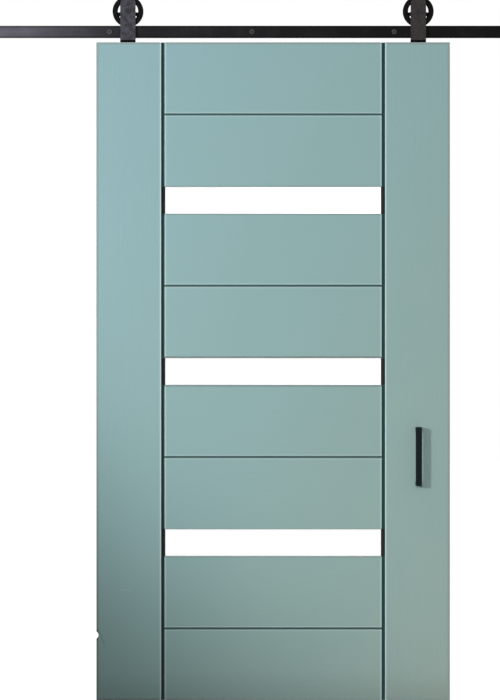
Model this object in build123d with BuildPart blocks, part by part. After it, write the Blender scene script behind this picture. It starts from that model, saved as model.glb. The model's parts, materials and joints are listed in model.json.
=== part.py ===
from build123d import *
import os

# Sliding barn door on its wall track, in millimetres. The origin lies on the wall plane, at the middle of
# the track's row of bolts. X runs along the track, Y points into the wall and Z is up.

# Fits and cuts shared by all pieces
JOINT_CLEARANCE = 0.15  # between a joint's tongue and each side of its groove
END_CLEARANCE = 0.5  # left at the bottom of a blind groove or hole
FASTENER_CLEARANCE = 0.1  # radial, between a fastener and the hole it sits in
RUNNING_CLEARANCE = 0.08  # radial, between the two rings of a roller bearing
OVERRUN = 2.0  # how far a cut runs past the face it opens

# Track
RAIL_LENGTH = 2438.0
RAIL_HEIGHT = 40.0
RAIL_THICKNESS = 6.0
RAIL_EDGE_RADIUS = 1.0
RAIL_HOLE_CLEARANCE = 0.5
WALL_BOLT_COUNT = 6
WALL_BOLT_INSET = 64.0  # from the end of the rail to the last bolt
WALL_BOLT_DIAMETER = 10.0
WALL_BOLT_HEAD_WIDTH = 16.0
WALL_BOLT_HEAD_HEIGHT = 6.0
WALL_THREAD_DIAMETER = 8.5
WALL_THREAD_LENGTH = 50.0
WALL_POINT_LENGTH = 8.0
WALL_TIP_DIAMETER = 1.0
SPACER_LENGTH = 35.0
SPACER_DIAMETER = 25.0
SPACER_CHAMFER = 1.0

# End stops
STOP_LENGTH = 40.0
STOP_WIDTH = 26.0
STOP_INSET = 10.0  # from the end of the rail
STOP_LEG_DEPTH = 30.0  # how far the legs reach down past the rail's top edge
STOP_RISE = 16.0  # from the axle line up to the stop's top
STOP_EDGE_RADIUS = 3.0
STOP_EDGE_CHAMFER = 0.8
STOP_SCREW_DIAMETER = 6.0
STOP_SCREW_DROP = 14.0  # from the rail's top edge down to the clamp screw
STOP_SOCKET_WIDTH = 3.0
STOP_SOCKET_DEPTH = 3.0
BUMPER_DIAMETER = 24.0
BUMPER_LENGTH = 12.0
BUMPER_EDGE_RADIUS = 2.0
BUMPER_STEM_DIAMETER = 8.0
BUMPER_STEM_LENGTH = 12.0

# Roller wheels
WHEEL_DIAMETER = 100.0
WHEEL_WIDTH = 20.0
FLANGE_DEPTH = 4.0
GROOVE_SIDE_CLEARANCE = 1.0
GROOVE_FLARE = 2.0  # extra width of the groove at the flange tips, each side
FLANGE_CHAMFER = 1.0
RIM_THICKNESS = 15.0
WEB_THICKNESS = 10.0
HUB_DIAMETER = 42.0
SPOKE_COUNT = 5
SPOKE_WIDTH = 12.0
CASTING_RADIUS = 2.0  # where the web runs into rim and hub
WINDOW_CORNER_RADIUS = 2.5
ROLLING_CLEARANCE = 0.3  # between the tread and the rail's top edge
BEARING_DIAMETER = 30.0
BEARING_WIDTH = 9.0
BEARING_INNER_DIAMETER = 16.0
BEARING_CHAMFER = 0.6
BEARING_LIP = 3.0  # radial height of the hub's shoulder in front of the bearing

# Hangers and axles
STRAP_WIDTH = 50.0
STRAP_THICKNESS = 6.0
STRAP_RISE = 48.0  # from the axle up to the strap's rounded end
STRAP_END_SHARE = 0.48  # end radius as a share of the strap's width
STRAP_BEND_RADIUS = 4.0  # inside the bend
STRAP_EDGE_CHAMFER = 0.6
STRAP_GAP = 2.0  # between the wheel's side and the strap
FOOT_BACK_MARGIN = 3.0  # from the foot's free end to the back of the leaf
FOOT_CORNER_RADIUS = 6.0
FOOT_SCREW_SPACING = 28.0
FOOT_SCREW_DIAMETER = 6.0
FOOT_SCREW_HEAD_DIAMETER = 11.0
FOOT_SCREW_LENGTH = 60.0
FOOT_SCREW_POINT = 8.0
FOOT_SCREW_TIP_DIAMETER = 0.8
FOOT_SCREW_SOCKET_WIDTH = 4.0
FOOT_SCREW_SOCKET_DEPTH = 2.0
AXLE_DIAMETER = 10.0
AXLE_HEAD_WIDTH = 17.0
AXLE_HEAD_HEIGHT = 6.4
AXLE_NUT_HEIGHT = 8.0
AXLE_THREAD_SHOW = 2.5
AXLE_SPACER_DIAMETER = 15.0
REAR_SPACER_LENGTH = 6.0
HEX_CHAMFER = 0.8

# Door leaf
DOOR_WIDTH = 1146.0
DOOR_HEIGHT = 2134.0
DOOR_THICKNESS = 40.0
DOOR_REST_X = 300.0  # middle of the leaf when the door stands as photographed
DOOR_TOP_GAP = 15.0  # from the rail's lower edge down to the leaf
STILE_WIDTH = 210.0
STILE_GROOVE_DEPTH = 16.0
REVEAL_WIDTH = 11.0  # open channel between a stile and the board faces
EDGE_RADIUS = 1.5  # eased edges of the stiles and boards
HANGER_INSET = 102.0  # from the leaf's side edge to a hanger
LITE_COUNT = 3
LITE_HEIGHT = 88.0
BOARDS_PER_FIELD = 2
END_TONGUE_THICKNESS = 16.0
JOINT_GAP_WIDTH = 4.0  # shadow gap between two boards
JOINT_GAP_DEPTH = 6.0
EDGE_TONGUE_THICKNESS = 12.0
EDGE_TONGUE_LENGTH = 10.0
DOWEL_DIAMETER = 10.0
DOWEL_IN_BOARD = 22.0
DOWEL_IN_STILE = 24.0
DOWEL_SPACING = 140.0
CHIP_HEIGHT = 26.0  # broken edge low on the left stile
CHIP_DEPTH = 6.5
CHIP_FLAT = 9.0
CHIP_ABOVE_BOTTOM = 212.0

# Glass strips and their rubber seals
PANE_THICKNESS = 6.0
PANE_EDGE_COVER = 8.0  # glass held inside the seal above and below the opening
SEAL_LIP = 2.0
SEAL_DEPTH = 10.0
SEAL_END_COVER = 2.0  # seal showing past the board ends, over the glass

# Pull handle
PULL_LENGTH = 190.0
PULL_WIDTH = 20.0
PULL_BAR_THICKNESS = 10.0
PULL_LEG_HEIGHT = 14.0
PULL_FINGER_GAP = 30.0
PULL_ABOVE_BOTTOM = 792.0
PULL_INSET = 102.0
PULL_CORNER_RADIUS = 4.0
PULL_INNER_RADIUS = 3.0
PULL_EDGE_RADIUS = 2.0
PULL_SCREW_DIAMETER = 6.0
PULL_SCREW_DEPTH = 15.0  # thread length inside a handle leg
PULL_SCREW_HEAD_DIAMETER = 12.0
PULL_SCREW_HEAD_HEIGHT = 4.0
PULL_SCREW_SINK = 5.0
PULL_SOCKET_WIDTH = 4.0
PULL_SOCKET_DEPTH = 2.5

# Positions that follow from the sizes above
RAIL_Y = -(SPACER_LENGTH + RAIL_THICKNESS / 2)
RAIL_FRONT = RAIL_Y - RAIL_THICKNESS / 2
RAIL_TOP = RAIL_HEIGHT / 2
TREAD_RADIUS = WHEEL_DIAMETER / 2 - FLANGE_DEPTH
AXLE_Z = RAIL_TOP + ROLLING_CLEARANCE + TREAD_RADIUS
STRAP_BACK = RAIL_Y - WHEEL_WIDTH / 2 - STRAP_GAP
STRAP_FRONT = STRAP_BACK - STRAP_THICKNESS
DOOR_TOP = -RAIL_HEIGHT / 2 - DOOR_TOP_GAP
DOOR_BOTTOM = DOOR_TOP - DOOR_HEIGHT
DOOR_FRONT = RAIL_Y - DOOR_THICKNESS / 2
DOOR_BACK = RAIL_Y + DOOR_THICKNESS / 2
FOOT_TOP = DOOR_TOP + STRAP_THICKNESS
FOOT_END = DOOR_BACK - FOOT_BACK_MARGIN
BOARD_COUNT = BOARDS_PER_FIELD * (LITE_COUNT + 1)
BOARD_PITCH = (DOOR_HEIGHT - LITE_COUNT * LITE_HEIGHT) / BOARD_COUNT
BOARD_LENGTH = DOOR_WIDTH - 2 * (STILE_WIDTH + REVEAL_WIDTH)
BOARD_CORE = DOOR_THICKNESS - 2 * JOINT_GAP_DEPTH
SEAL_THICKNESS = PANE_THICKNESS + 2 * SEAL_LIP
SIDES = {"left": -1, "right": 1}


def wall_bolt_positions():
    """X of every wall bolt, evenly spaced about the middle of the rail."""
    first = WALL_BOLT_INSET - RAIL_LENGTH / 2
    pitch = (RAIL_LENGTH - 2 * WALL_BOLT_INSET) / (WALL_BOLT_COUNT - 1)
    return [first + pitch * index for index in range(WALL_BOLT_COUNT)]


def hanger_x(side):
    """X of the hanger, wheel and axle at one side of the leaf."""
    return DOOR_REST_X + side * (DOOR_WIDTH / 2 - HANGER_INSET)


def stile_inner_x(side):
    """X of a stile's inner edge."""
    return DOOR_REST_X + side * (DOOR_WIDTH / 2 - STILE_WIDTH)


def board_top(index):
    """Z of the upper pitch line of a board, counted from the top of the leaf."""
    lites_above = index // BOARDS_PER_FIELD
    return DOOR_TOP - index * BOARD_PITCH - lites_above * LITE_HEIGHT


def lite_middle(index):
    """Z of the middle of a glass strip, counted from the top of the leaf."""
    board_above = BOARDS_PER_FIELD * (index + 1) - 1
    return board_top(board_above) - BOARD_PITCH - LITE_HEIGHT / 2


def dowel_heights():
    """Z of every dowel at one side of the leaf."""
    heights = []
    for index in range(BOARD_COUNT):
        middle = board_top(index) - BOARD_PITCH / 2
        heights.append(middle + DOWEL_SPACING / 2)
        heights.append(middle - DOWEL_SPACING / 2)
    return heights


def front_plane(x, y, z):
    """Plane facing the front of the door, so that an extrusion comes out of it."""
    return Plane(origin=(x, y, z), x_dir=(1, 0, 0), z_dir=(0, -1, 0))


def axle_section_plane(x):
    """Plane through the axle of a roller, with the radius along X and the width along Y."""
    return Plane(origin=(x, RAIL_Y, AXLE_Z), x_dir=(1, 0, 0), z_dir=(0, 0, 1))


def axle_axis(x):
    """Axis of a roller, running back to front."""
    return Axis((x, RAIL_Y, AXLE_Z), (0, 1, 0))


def save(part, name):
    """Label a finished piece and write it to its own file."""
    part.label = name
    export_step(part, "parts/" + name + ".step")


def make_rail():
    """Flat steel bar on edge, with one clearance hole for each wall bolt."""
    with BuildPart() as rail:
        with BuildSketch(Plane.YZ.offset(-RAIL_LENGTH / 2)) as section:
            with Locations((RAIL_Y, 0)):
                Rectangle(RAIL_THICKNESS, RAIL_HEIGHT)
            fillet(section.vertices(), RAIL_EDGE_RADIUS)
        extrude(amount=RAIL_LENGTH)
        for x in wall_bolt_positions():
            with Locations(front_plane(x, RAIL_FRONT, 0)):
                Hole(WALL_BOLT_DIAMETER / 2 + RAIL_HOLE_CLEARANCE, RAIL_THICKNESS + OVERRUN)
    save(rail.part, "rail")


def make_wall_spacers():
    """Tubes that hold the rail off the wall."""
    with BuildPart() as wall_spacers:
        for x in wall_bolt_positions():
            with BuildSketch(front_plane(x, 0, 0)):
                Circle(SPACER_DIAMETER / 2)
                Circle(WALL_BOLT_DIAMETER / 2 + RAIL_HOLE_CLEARANCE, mode=Mode.SUBTRACT)
        extrude(amount=SPACER_LENGTH)
        outer_rings = wall_spacers.edges().filter_by(
            lambda edge: edge.geom_type == GeomType.CIRCLE and edge.radius > WALL_BOLT_DIAMETER
        )
        chamfer(outer_rings, SPACER_CHAMFER)
    save(wall_spacers.part, "wall_spacers")


def make_wall_bolts():
    """Lag bolts: plain shank through rail and spacer, smaller thread core inside the wall."""
    with BuildPart() as wall_bolts:
        for x in wall_bolt_positions():
            with BuildSketch(front_plane(x, RAIL_FRONT, 0)):
                RegularPolygon(WALL_BOLT_HEAD_WIDTH / 2, side_count=6, major_radius=False)
        extrude(amount=WALL_BOLT_HEAD_HEIGHT)
        chamfer(wall_bolts.faces().group_by(Axis.Y)[0].edges(), HEX_CHAMFER)
        for x in wall_bolt_positions():
            with BuildSketch(front_plane(x, RAIL_FRONT, 0)):
                Circle(WALL_BOLT_DIAMETER / 2)
        extrude(amount=RAIL_FRONT)
        for x in wall_bolt_positions():
            with BuildSketch(Plane(origin=(x, 0, 0), x_dir=(1, 0, 0), z_dir=(0, 0, 1))):
                with BuildLine():
                    Polyline(
                        (0, 0),
                        (WALL_THREAD_DIAMETER / 2, 0),
                        (WALL_THREAD_DIAMETER / 2, WALL_THREAD_LENGTH - WALL_POINT_LENGTH),
                        (WALL_TIP_DIAMETER / 2, WALL_THREAD_LENGTH),
                        (0, WALL_THREAD_LENGTH),
                        close=True,
                    )
                make_face()
            revolve(axis=Axis((x, 0, 0), (0, 1, 0)))
    save(wall_bolts.part, "wall_bolts")


def stop_middle_x(side):
    """X of the middle of an end stop."""
    return side * (RAIL_LENGTH / 2 - STOP_INSET - STOP_LENGTH / 2)


def stop_face_x(side):
    """X of the face of an end stop that looks along the rail."""
    return side * (RAIL_LENGTH / 2 - STOP_INSET - STOP_LENGTH)


def make_end_stop(label, side):
    """Block straddling the rail, clamped by a set screw and bored for its bumper."""
    stop_height = STOP_LEG_DEPTH + AXLE_Z + STOP_RISE - RAIL_TOP
    stop_x = stop_middle_x(side)
    screw_z = RAIL_TOP - STOP_SCREW_DROP
    with BuildPart() as end_stop:
        with BuildSketch(Plane.YZ.offset(stop_x - STOP_LENGTH / 2)) as section:
            with Locations((RAIL_Y, AXLE_Z + STOP_RISE - stop_height / 2)):
                Rectangle(STOP_WIDTH, stop_height)
            fillet(section.vertices(), STOP_EDGE_RADIUS)
            with Locations((RAIL_Y, RAIL_TOP + JOINT_CLEARANCE - STOP_LEG_DEPTH)):
                Rectangle(RAIL_THICKNESS + 2 * JOINT_CLEARANCE, 2 * STOP_LEG_DEPTH, mode=Mode.SUBTRACT)
        extrude(amount=STOP_LENGTH)
        chamfer(end_stop.faces().filter_by(Axis.X).edges(), STOP_EDGE_CHAMFER)
        with Locations(front_plane(stop_x, RAIL_Y - STOP_WIDTH / 2, screw_z)):
            Hole(STOP_SCREW_DIAMETER / 2 + FASTENER_CLEARANCE, STOP_WIDTH / 2)
        with Locations((stop_face_x(side), RAIL_Y, AXLE_Z)):
            Cylinder(
                BUMPER_STEM_DIAMETER / 2 + FASTENER_CLEARANCE,
                2 * (BUMPER_STEM_LENGTH + END_CLEARANCE),
                rotation=(0, 90, 0),
                mode=Mode.SUBTRACT,
            )
    save(end_stop.part, "end_stop_" + label)


def make_stop_bumper(label, side):
    """Rubber buffer at axle height, plugged into the end stop."""
    stem_start = BUMPER_STEM_LENGTH * side
    face = stop_face_x(side)
    with BuildPart() as stop_bumper:
        with BuildSketch(Plane(origin=(face, RAIL_Y, AXLE_Z), x_dir=(0, 1, 0), z_dir=(-side, 0, 0))):
            Circle(BUMPER_DIAMETER / 2)
        extrude(amount=BUMPER_LENGTH)
        striking_face = stop_bumper.faces().sort_by(Axis.X)[0 if side > 0 else -1]
        fillet(striking_face.edges(), BUMPER_EDGE_RADIUS)
        with Locations((face + stem_start / 2, RAIL_Y, AXLE_Z)):
            Cylinder(BUMPER_STEM_DIAMETER / 2, BUMPER_STEM_LENGTH, rotation=(0, 90, 0))
    save(stop_bumper.part, "stop_bumper_" + label)


def make_stop_screws():
    """Set screws that clamp the end stops to the rail."""
    screw_front = RAIL_Y - STOP_WIDTH / 2
    screw_length = RAIL_FRONT - FASTENER_CLEARANCE - screw_front
    screw_z = RAIL_TOP - STOP_SCREW_DROP
    with BuildPart() as stop_screws:
        for side in SIDES.values():
            with BuildSketch(front_plane(stop_middle_x(side), screw_front, screw_z)):
                Circle(STOP_SCREW_DIAMETER / 2)
        extrude(amount=-screw_length)
        for side in SIDES.values():
            with BuildSketch(front_plane(stop_middle_x(side), screw_front, screw_z)):
                RegularPolygon(STOP_SOCKET_WIDTH / 2, side_count=6, major_radius=False)
        extrude(amount=-STOP_SOCKET_DEPTH, mode=Mode.SUBTRACT)
    save(stop_screws.part, "stop_screws")


def make_wheel(label, side):
    """Spoked roller: flanged tread groove, web with rounded windows, hub bored for the bearing."""
    x = hanger_x(side)
    wheel_radius = WHEEL_DIAMETER / 2
    rim_inner = wheel_radius - RIM_THICKNESS
    rim_middle = wheel_radius - RIM_THICKNESS / 2
    hub_radius = HUB_DIAMETER / 2
    seat_radius = BEARING_DIAMETER / 2 + FASTENER_CLEARANCE / 2
    groove_half = RAIL_THICKNESS / 2 + GROOVE_SIDE_CLEARANCE
    seat_length = (WHEEL_WIDTH + BEARING_WIDTH) / 2
    with BuildPart() as wheel:
        with BuildSketch(axle_section_plane(x)) as section:
            with Locations((rim_middle, 0)):
                Rectangle(RIM_THICKNESS, WHEEL_WIDTH)
            chamfer(section.vertices(), FLANGE_CHAMFER)
            with Locations(((hub_radius + rim_middle) / 2, 0)):
                Rectangle(rim_middle - hub_radius, WEB_THICKNESS)
            with Locations(((hub_radius + seat_radius - BEARING_LIP) / 2, 0)):
                Rectangle(hub_radius - seat_radius + BEARING_LIP, WHEEL_WIDTH)
            web_ends = [section.vertices().filter_by_position(Axis.X, r, r) for r in (hub_radius, rim_inner)]
            web_corners = [corner for end in web_ends for corner in end if abs(corner.Y) < WEB_THICKNESS]
            fillet(web_corners, CASTING_RADIUS)
            with BuildLine():
                Polyline(
                    (TREAD_RADIUS, -groove_half),
                    (TREAD_RADIUS, groove_half),
                    (wheel_radius, groove_half + GROOVE_FLARE),
                    (wheel_radius + OVERRUN, groove_half + GROOVE_FLARE),
                    (wheel_radius + OVERRUN, -groove_half - GROOVE_FLARE),
                    (wheel_radius, -groove_half - GROOVE_FLARE),
                    close=True,
                )
            make_face(mode=Mode.SUBTRACT)
        revolve(axis=axle_axis(x))
        with BuildSketch(front_plane(x, RAIL_Y + WHEEL_WIDTH / 2, AXLE_Z)):
            Circle(seat_radius)
        extrude(amount=seat_length, mode=Mode.SUBTRACT)
        with BuildSketch(front_plane(x, RAIL_Y, AXLE_Z)) as windows:
            Circle(rim_inner - CASTING_RADIUS)
            Circle(hub_radius + CASTING_RADIUS, mode=Mode.SUBTRACT)
            with PolarLocations((rim_inner + hub_radius) / 2, SPOKE_COUNT, start_angle=-90):
                Rectangle(WHEEL_DIAMETER / 2, SPOKE_WIDTH, mode=Mode.SUBTRACT)
            fillet(windows.vertices(), WINDOW_CORNER_RADIUS)
        extrude(amount=WEB_THICKNESS, both=True, mode=Mode.SUBTRACT)
    save(wheel.part, "wheel_" + label)


def make_bearing(label, side):
    """Sealed roller bearing in two pieces: the outer ring turns with the wheel, the inner one does not."""
    x = hanger_x(side)
    inner_radius = BEARING_INNER_DIAMETER / 2
    with BuildPart() as bearing_outer:
        with BuildSketch(front_plane(x, RAIL_Y, AXLE_Z)):
            Circle(BEARING_DIAMETER / 2)
            Circle(inner_radius + RUNNING_CLEARANCE, mode=Mode.SUBTRACT)
        extrude(amount=BEARING_WIDTH / 2, both=True)
        rims = bearing_outer.edges().filter_by(lambda edge: edge.geom_type == GeomType.CIRCLE)
        chamfer(rims.group_by(SortBy.RADIUS)[-1], BEARING_CHAMFER)
    save(bearing_outer.part, "bearing_outer_" + label)
    with BuildPart() as bearing_inner:
        with BuildSketch(front_plane(x, RAIL_Y, AXLE_Z)):
            Circle(inner_radius)
            Circle(AXLE_DIAMETER / 2 + FASTENER_CLEARANCE, mode=Mode.SUBTRACT)
        extrude(amount=BEARING_WIDTH / 2, both=True)
    save(bearing_inner.part, "bearing_inner_" + label)


def make_axle(label, side):
    """Axle bolt, the two spacers that centre the bearing and the nut behind the wheel."""
    x = hanger_x(side)
    bearing_front = RAIL_Y - BEARING_WIDTH / 2
    bearing_back = RAIL_Y + BEARING_WIDTH / 2
    nut_front = bearing_back + REAR_SPACER_LENGTH
    bolt_length = nut_front + AXLE_NUT_HEIGHT + AXLE_THREAD_SHOW - STRAP_FRONT
    bore_radius = AXLE_DIAMETER / 2 + FASTENER_CLEARANCE
    with BuildPart() as axle_bolt:
        with BuildSketch(front_plane(x, STRAP_FRONT, AXLE_Z)):
            RegularPolygon(AXLE_HEAD_WIDTH / 2, side_count=6, major_radius=False)
        extrude(amount=AXLE_HEAD_HEIGHT)
        chamfer(axle_bolt.faces().sort_by(Axis.Y)[0].edges(), HEX_CHAMFER)
        with BuildSketch(front_plane(x, STRAP_FRONT, AXLE_Z)):
            Circle(AXLE_DIAMETER / 2)
        extrude(amount=-bolt_length)
        chamfer(axle_bolt.faces().sort_by(Axis.Y)[-1].edges(), HEX_CHAMFER)
    save(axle_bolt.part, "axle_bolt_" + label)
    with BuildPart() as axle_spacers:
        with BuildSketch(front_plane(x, bearing_front, AXLE_Z)):
            Circle(AXLE_SPACER_DIAMETER / 2)
            Circle(bore_radius, mode=Mode.SUBTRACT)
        extrude(amount=bearing_front - STRAP_BACK)
        with BuildSketch(front_plane(x, bearing_back, AXLE_Z)):
            Circle(AXLE_SPACER_DIAMETER / 2)
            Circle(bore_radius, mode=Mode.SUBTRACT)
        extrude(amount=-REAR_SPACER_LENGTH)
    save(axle_spacers.part, "axle_spacers_" + label)
    with BuildPart() as axle_nut:
        with BuildSketch(front_plane(x, nut_front, AXLE_Z)):
            RegularPolygon(AXLE_HEAD_WIDTH / 2, side_count=6, major_radius=False)
        extrude(amount=-AXLE_NUT_HEIGHT)
        chamfer(axle_nut.faces().sort_by(Axis.Y)[-1].edges(), HEX_CHAMFER)
        with Locations(front_plane(x, nut_front, AXLE_Z)):
            Hole(bore_radius, AXLE_NUT_HEIGHT + OVERRUN)
    save(axle_nut.part, "axle_nut_" + label)


def foot_screw_points(side):
    """X and Y of the two screws through one hanger's foot."""
    foot_start = STRAP_BACK + STRAP_BEND_RADIUS
    y = (foot_start + FOOT_END) / 2
    x = hanger_x(side)
    return [(x - FOOT_SCREW_SPACING / 2, y), (x + FOOT_SCREW_SPACING / 2, y)]


def make_hanger(label, side):
    """Strap with a rounded end for the axle, bent back into a foot that stands on the leaf's top edge."""
    x = hanger_x(side)
    strap_top = AXLE_Z + STRAP_RISE
    with BuildPart() as hanger:
        with BuildSketch(Plane.YZ.offset(x - STRAP_WIDTH / 2)) as profile:
            with BuildLine():
                Polyline(
                    (STRAP_FRONT, DOOR_TOP),
                    (FOOT_END, DOOR_TOP),
                    (FOOT_END, FOOT_TOP),
                    (STRAP_BACK, FOOT_TOP),
                    (STRAP_BACK, strap_top),
                    (STRAP_FRONT, strap_top),
                    close=True,
                )
            make_face()
            inner_corner = profile.vertices().sort_by_distance((STRAP_BACK, FOOT_TOP))[0]
            fillet(inner_corner, STRAP_BEND_RADIUS)
            outer_corner = profile.vertices().sort_by_distance((STRAP_FRONT, DOOR_TOP))[0]
            fillet(outer_corner, STRAP_BEND_RADIUS + STRAP_THICKNESS)
        extrude(amount=STRAP_WIDTH)
        top_corners = hanger.edges().filter_by(Axis.Y).group_by(Axis.Z)[-1]
        fillet(top_corners, STRAP_WIDTH * STRAP_END_SHARE)
        foot_corners = hanger.edges().filter_by(Axis.Z).group_by(Axis.Y)[-1]
        fillet(foot_corners, FOOT_CORNER_RADIUS)
        front_outline = hanger.faces().filter_by(Axis.Y).sort_by(Axis.Y)[0].edges()
        chamfer(front_outline.sort_by(Axis.Z)[1:], STRAP_EDGE_CHAMFER)
        with Locations(front_plane(x, STRAP_FRONT, AXLE_Z)):
            Hole(AXLE_DIAMETER / 2 + FASTENER_CLEARANCE, STRAP_THICKNESS + OVERRUN)
        for point_x, point_y in foot_screw_points(side):
            with Locations((point_x, point_y, FOOT_TOP)):
                CounterSinkHole(
                    FOOT_SCREW_DIAMETER / 2 + FASTENER_CLEARANCE,
                    FOOT_SCREW_HEAD_DIAMETER / 2 + FASTENER_CLEARANCE,
                    depth=STRAP_THICKNESS + OVERRUN,
                    counter_sink_angle=90,
                )
    save(hanger.part, "hanger_" + label)


def make_foot_screws(label, side):
    """Countersunk wood screws that hold a hanger's foot to the stile."""
    head_radius = FOOT_SCREW_HEAD_DIAMETER / 2
    shank_radius = FOOT_SCREW_DIAMETER / 2
    with BuildPart() as foot_screws:
        for point_x, point_y in foot_screw_points(side):
            with BuildSketch(Plane(origin=(point_x, point_y, FOOT_TOP), x_dir=(1, 0, 0), z_dir=(0, -1, 0))):
                with BuildLine():
                    Polyline(
                        (0, 0),
                        (head_radius, 0),
                        (shank_radius, shank_radius - head_radius),
                        (shank_radius, FOOT_SCREW_POINT - FOOT_SCREW_LENGTH),
                        (FOOT_SCREW_TIP_DIAMETER / 2, -FOOT_SCREW_LENGTH),
                        (0, -FOOT_SCREW_LENGTH),
                        close=True,
                    )
                make_face()
            revolve(axis=Axis((point_x, point_y, 0), (0, 0, 1)))
        for point_x, point_y in foot_screw_points(side):
            with BuildSketch(Plane.XY.offset(FOOT_TOP)):
                with Locations((point_x, point_y)):
                    RegularPolygon(FOOT_SCREW_SOCKET_WIDTH / 2, side_count=6, major_radius=False)
        extrude(amount=-FOOT_SCREW_SOCKET_DEPTH, mode=Mode.SUBTRACT)
    save(foot_screws.part, "foot_screws_" + label)


def pull_leg_heights():
    """Z of the middle of the pull handle's two legs."""
    middle = DOOR_BOTTOM + PULL_ABOVE_BOTTOM
    reach = (PULL_LENGTH - PULL_LEG_HEIGHT) / 2
    return [middle - reach, middle + reach]


def make_stile(label, side):
    """Side member of the leaf: grooved inner edge, dowel holes, screw holes for its hardware."""
    outer_x = DOOR_REST_X + side * DOOR_WIDTH / 2
    groove_floor = stile_inner_x(side) + side * STILE_GROOVE_DEPTH
    dowel_hole_depth = DOWEL_IN_STILE + END_CLEARANCE
    pilot_depth = FOOT_SCREW_LENGTH - STRAP_THICKNESS + END_CLEARANCE
    with BuildPart() as stile:
        with BuildSketch(Plane.XY.offset(DOOR_BOTTOM)) as section:
            with Locations((outer_x - side * STILE_WIDTH / 2, RAIL_Y)):
                Rectangle(STILE_WIDTH, DOOR_THICKNESS)
            fillet(section.vertices(), EDGE_RADIUS)
            with Locations((stile_inner_x(side), RAIL_Y)):
                Rectangle(
                    2 * STILE_GROOVE_DEPTH,
                    END_TONGUE_THICKNESS + 2 * JOINT_CLEARANCE,
                    mode=Mode.SUBTRACT,
                )
        extrude(amount=DOOR_HEIGHT)
        with Locations([(groove_floor, RAIL_Y, z) for z in dowel_heights()]):
            Cylinder(
                DOWEL_DIAMETER / 2 + FASTENER_CLEARANCE,
                2 * dowel_hole_depth,
                rotation=(0, 90, 0),
                mode=Mode.SUBTRACT,
            )
        with Locations([(point_x, point_y, DOOR_TOP) for point_x, point_y in foot_screw_points(side)]):
            Hole(FOOT_SCREW_DIAMETER / 2 + FASTENER_CLEARANCE, pilot_depth)
        if label == "right":
            pull_x = outer_x - PULL_INSET
            for z in pull_leg_heights():
                with Locations(Plane(origin=(pull_x, DOOR_BACK, z), x_dir=(1, 0, 0), z_dir=(0, 1, 0))):
                    CounterBoreHole(
                        PULL_SCREW_DIAMETER / 2 + FASTENER_CLEARANCE,
                        PULL_SCREW_HEAD_DIAMETER / 2 + FASTENER_CLEARANCE,
                        PULL_SCREW_SINK,
                        depth=DOOR_THICKNESS + OVERRUN,
                    )
        if label == "left":
            chip_middle = DOOR_BOTTOM + CHIP_ABOVE_BOTTOM
            with BuildSketch(front_plane(outer_x, DOOR_FRONT - OVERRUN, chip_middle)):
                with BuildLine():
                    Polyline(
                        (-OVERRUN, -CHIP_HEIGHT / 2),
                        (0, -CHIP_HEIGHT / 2),
                        (CHIP_DEPTH, -CHIP_FLAT / 2),
                        (CHIP_DEPTH, CHIP_FLAT / 2),
                        (0, CHIP_HEIGHT / 2),
                        (-OVERRUN, CHIP_HEIGHT / 2),
                        close=True,
                    )
                make_face()
            extrude(amount=-(DOOR_THICKNESS + 2 * OVERRUN), mode=Mode.SUBTRACT)
    save(stile.part, "stile_" + label)


def make_dowels(label, side):
    """Round pins that tie every board to one stile."""
    groove_floor = stile_inner_x(side) + side * STILE_GROOVE_DEPTH
    board_end = stile_inner_x(side) - side * REVEAL_WIDTH
    inner_end = board_end - side * DOWEL_IN_BOARD
    outer_end = groove_floor + side * DOWEL_IN_STILE
    with BuildPart() as dowels:
        with Locations([((inner_end + outer_end) / 2, RAIL_Y, z) for z in dowel_heights()]):
            Cylinder(DOWEL_DIAMETER / 2, abs(outer_end - inner_end), rotation=(0, 90, 0))
    save(dowels.part, "dowels_" + label)


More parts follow.
